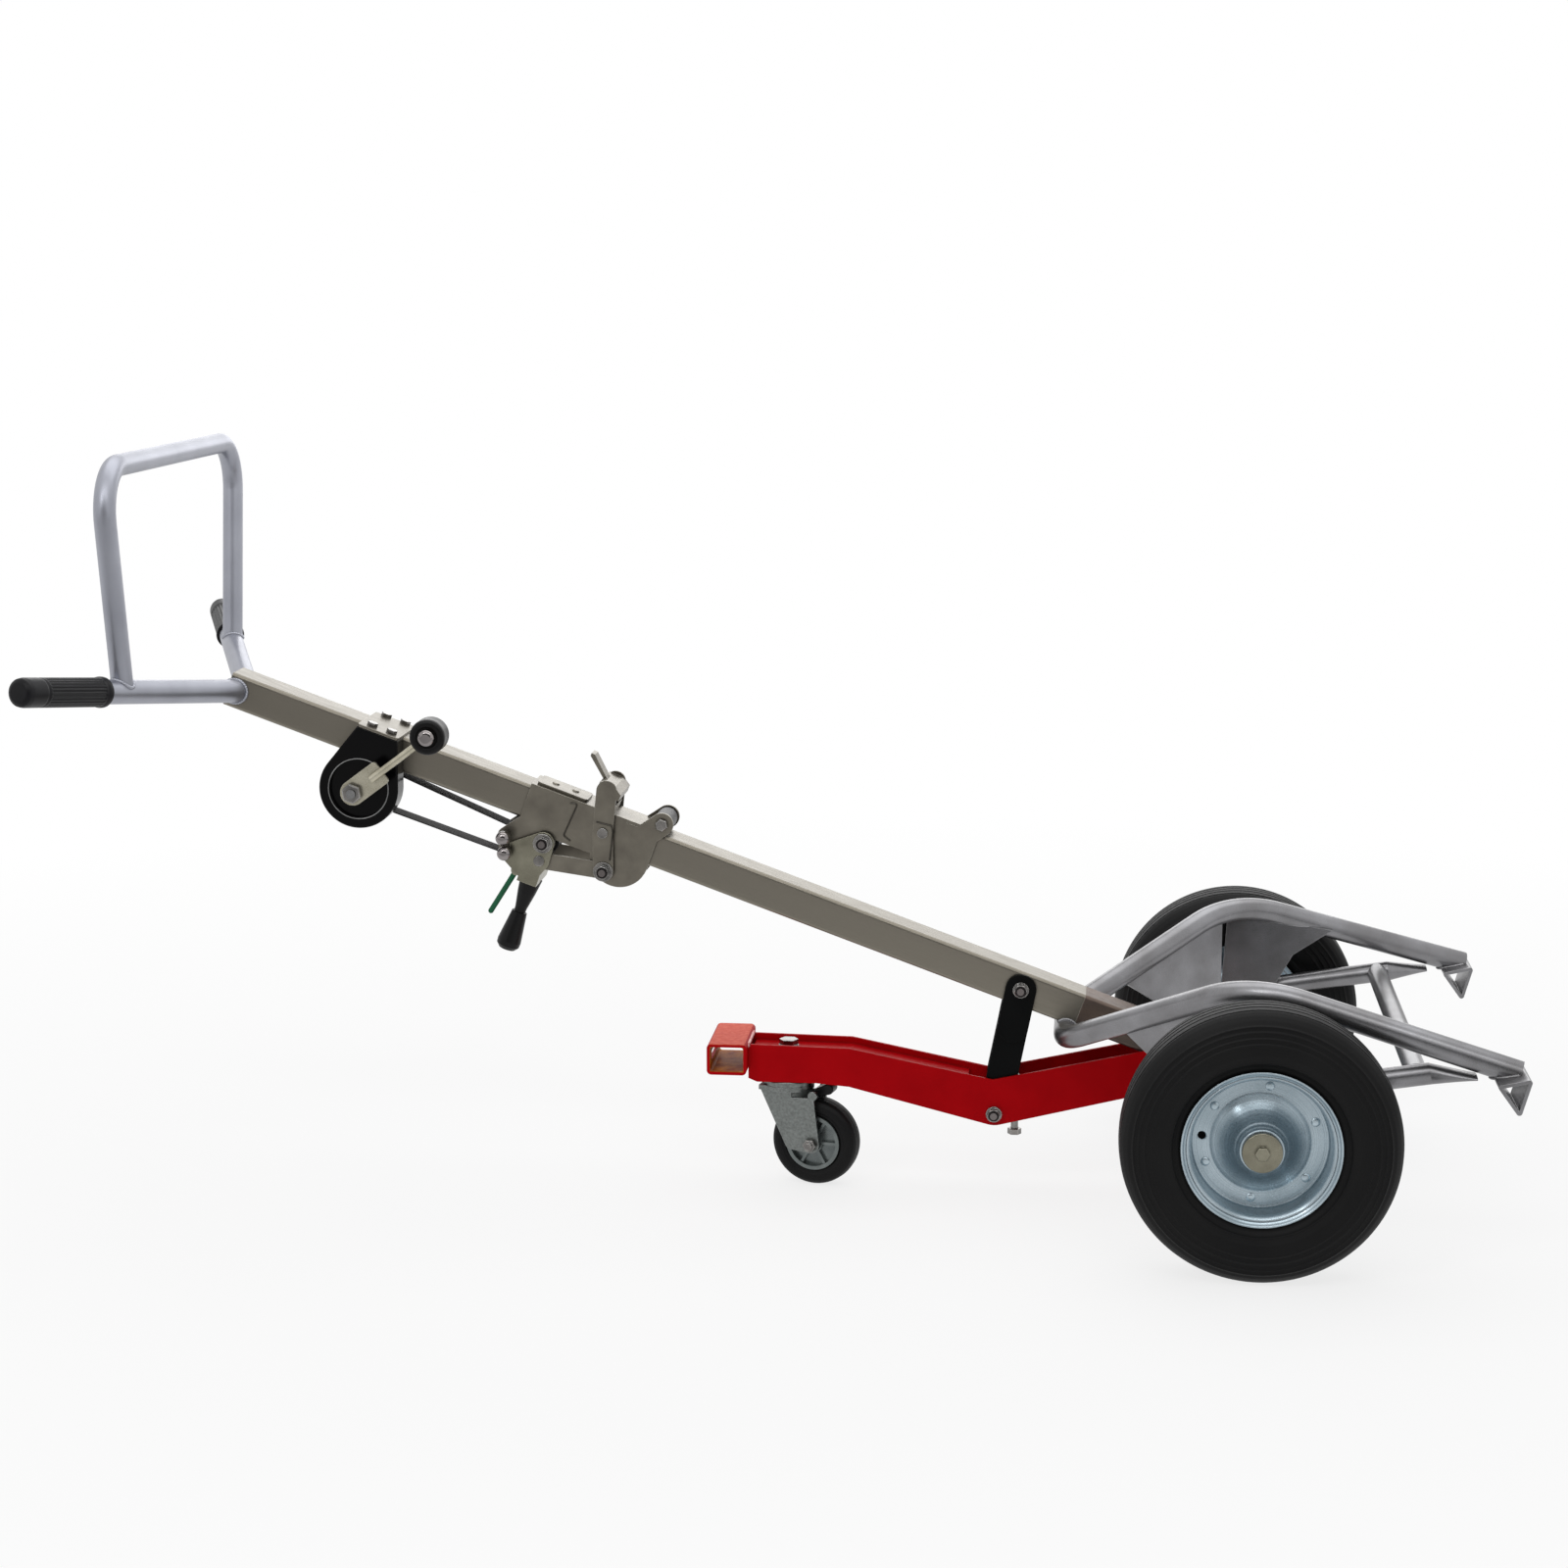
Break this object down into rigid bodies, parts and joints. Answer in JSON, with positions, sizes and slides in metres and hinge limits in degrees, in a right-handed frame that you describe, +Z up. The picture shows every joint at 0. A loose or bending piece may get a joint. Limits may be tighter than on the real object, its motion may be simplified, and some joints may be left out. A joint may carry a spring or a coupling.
{
  "type": "drum truck",
  "caption": "Tilting drum truck: mast with winch, strap-drawn rim hook and clamp lever, bent cradle tube on pneumatic wheels, braced support arm with a swivel caster.",
  "frame": {"origin": "centre of the bounding box in plan, on the floor under the wheels", "axes": "+X runs from the handle to the feet, +Y to the left of someone pushing from the handle, +Z up"},
  "size_m": [1.4866, 0.716, 0.7996],
  "materials": {
    "zinc_plate": "satin zinc with a warm tint",
    "bare_steel": "dull bare steel",
    "silver_paint": "silver metallic paint",
    "grip_rubber": "matt ribbed",
    "tyre_rubber": "matt",
    "blue_zinc": "bright zinc",
    "plain_steel": "satin",
    "yellow_zinc": "yellow passivated zinc",
    "gloss_black": "glossy",
    "black_plastic": "satin",
    "chrome": "polished",
    "fastener_zinc": "bright zinc",
    "spring_steel": "drawn wire",
    "webbing": "woven",
    "green_plastic": "satin",
    "red_paint": "gloss powder coat",
    "black_paint": "satin powder coat",
    "grey_plastic": "satin"
  },
  "bodies": {
    "frame": {"mast_tube": "zinc_plate", "mast_shoe": "bare_steel", "mast_plug": "zinc_plate", "handle_bars": "silver_paint", "handle_loop": "silver_paint", "grip_left": "grip_rubber", "grip_right": "grip_rubber", "cradle_tube": "silver_paint", "cross_tube": "silver_paint", "braces": "silver_paint", "feet": "silver_paint", "axle_plates": "silver_paint", "axle": "plain_steel", "axle_caps": "yellow_zinc", "winch_housing_left": "gloss_black", "winch_housing_right": "gloss_black", "winch_clamp_plate": "zinc_plate", "winch_fasteners": "fastener_zinc", "strap": "webbing", "support_arm": "red_paint", "pedal_box": "red_paint", "strut": "black_paint", "support_bolts": "fastener_zinc", "caster_head": "blue_zinc"},
    "wheel_left": {"tyre_left": "tyre_rubber", "rim_left": "blue_zinc", "hub_left": "plain_steel"},
    "wheel_right": {"tyre_right": "tyre_rubber", "rim_right": "blue_zinc", "hub_right": "plain_steel"},
    "caster": {"caster_fork": "blue_zinc", "caster_axle": "fastener_zinc"},
    "caster_wheel": {"caster_tyre": "tyre_rubber", "caster_rim": "grey_plastic"},
    "brake_tab": {"caster_brake": "black_plastic"},
    "crank": {"spool": "plain_steel", "strap_winding": "webbing", "crank_plate": "yellow_zinc", "crank_rod": "yellow_zinc", "crank_nut": "fastener_zinc", "knob_cap": "chrome"},
    "knob": {"crank_knob": "black_plastic"},
    "carriage": {"carriage_body": "zinc_plate", "carriage_pad": "zinc_plate", "rim_ledge": "zinc_plate", "carriage_pins": "fastener_zinc", "dome_nuts": "chrome", "roof_wire": "spring_steel"},
    "upper_roller": {"upper_guide_roller": "black_plastic"},
    "lower_roller": {"lower_guide_roller": "black_plastic"},
    "strap_roller_top": {"strap_roller_upper": "fastener_zinc"},
    "strap_roller_bottom": {"strap_roller_lower": "fastener_zinc"},
    "lever": {"lever_yoke": "yellow_zinc", "lever_pins": "fastener_zinc", "lever_handle": "black_plastic"},
    "release": {"release_lever": "green_plastic"},
    "link": {"links": "zinc_plate"},
    "hook": {"hook": "zinc_plate", "link_studs": "fastener_zinc", "hook_spring": "spring_steel"}
  },
  "joints": [
    {"name": "left_wheel_spin", "type": "hinge", "parent": "frame", "child": "wheel_left", "pos_m": [0.48215, 0.275, 0.139], "axis": [0, 1, 0], "continuous": true},
    {"name": "right_wheel_spin", "type": "hinge", "parent": "frame", "child": "wheel_right", "pos_m": [0.48215, -0.275, 0.139], "axis": [0, 1, 0], "continuous": true},
    {"name": "caster_swivel", "type": "hinge", "parent": "frame", "child": "caster", "pos_m": [-0.01135, 0, 0.1102], "axis": [0, 0, 1], "continuous": true},
    {"name": "caster_wheel_spin", "type": "hinge", "parent": "caster", "child": "caster_wheel", "pos_m": [0.01983, -0.0072, 0.048], "axis": [0.225, 0.9744, 0], "continuous": true},
    {"name": "caster_brake_press", "type": "hinge", "parent": "caster", "child": "brake_tab", "pos_m": [0.02178, -0.00765, 0.1022], "axis": [0.225, 0.9744, 0], "range_deg": [0, 28]},
    {"name": "carriage_slide", "type": "slide", "parent": "frame", "child": "carriage", "axis": [0.9397, 0, -0.342], "range_m": [-0.08, 0.24], "deforming": ["strap"]},
    {"name": "crank_spin", "type": "hinge", "parent": "frame", "child": "crank", "pos_m": [-0.46977, -0.075, 0.43545], "axis": [0, 1, 0], "range_deg": [-515, 1533]},
    {"name": "crank_knob_spin", "type": "hinge", "parent": "crank", "child": "knob", "pos_m": [-0.37957, -0.089, 0.50269], "axis": [0, 1, 0], "continuous": true},
    {"name": "upper_roller_spin", "type": "hinge", "parent": "carriage", "child": "upper_roller", "pos_m": [-0.14575, 0, 0.39765], "axis": [0, 1, 0], "range_deg": [-422, 1256]},
    {"name": "lower_roller_spin", "type": "hinge", "parent": "carriage", "child": "lower_roller", "pos_m": [-0.27367, 0, 0.37632], "axis": [0, 1, 0], "range_deg": [-910, 307]},
    {"name": "strap_roller_top_spin", "type": "hinge", "parent": "carriage", "child": "strap_roller_top", "pos_m": [-0.31508, 0, 0.38298], "axis": [0, 1, 0], "range_deg": [-680, 2028]},
    {"name": "strap_roller_bottom_spin", "type": "hinge", "parent": "carriage", "child": "strap_roller_bottom", "pos_m": [-0.31395, 0, 0.3665], "axis": [0, 1, 0], "range_deg": [-680, 2028]},
    {"name": "lever_swing", "type": "hinge", "parent": "carriage", "child": "lever", "pos_m": [-0.27367, 0, 0.37632], "axis": [0, 1, 0], "range_deg": [-35, 0]},
    {"name": "hook_swing", "type": "hinge", "parent": "carriage", "child": "hook", "pos_m": [-0.20877, 0, 0.38856], "axis": [0, 1, 0], "range_deg": [-18, 1]},
    {"name": "link_swing", "type": "hinge", "parent": "lever", "child": "link", "pos_m": [-0.27825, 0, 0.3567], "axis": [0, 1, 0], "range_deg": [-1, 35]},
    {"name": "release_squeeze", "type": "hinge", "parent": "lever", "child": "release", "pos_m": [-0.30849, 0, 0.34057], "axis": [0, 1, 0], "range_deg": [-9, 0], "stiffness_Nm_per_rad": 0.4, "springref_deg": 5.73}
  ],
  "couplings": [
    {"joint": "crank_spin", "follows": "carriage_slide", "rad_per_m": 111.11},
    {"joint": "upper_roller_spin", "follows": "carriage_slide", "rad_per_m": 90.909},
    {"joint": "lower_roller_spin", "follows": "carriage_slide", "rad_per_m": -65.789},
    {"joint": "strap_roller_top_spin", "follows": "carriage_slide", "rad_per_m": 147.06},
    {"joint": "strap_roller_bottom_spin", "follows": "carriage_slide", "rad_per_m": 147.06},
    {"joint": "hook_swing", "follows": "lever_swing", "ratio": 0.486},
    {"joint": "link_swing", "follows": "lever_swing", "ratio": -0.97}
  ]
}
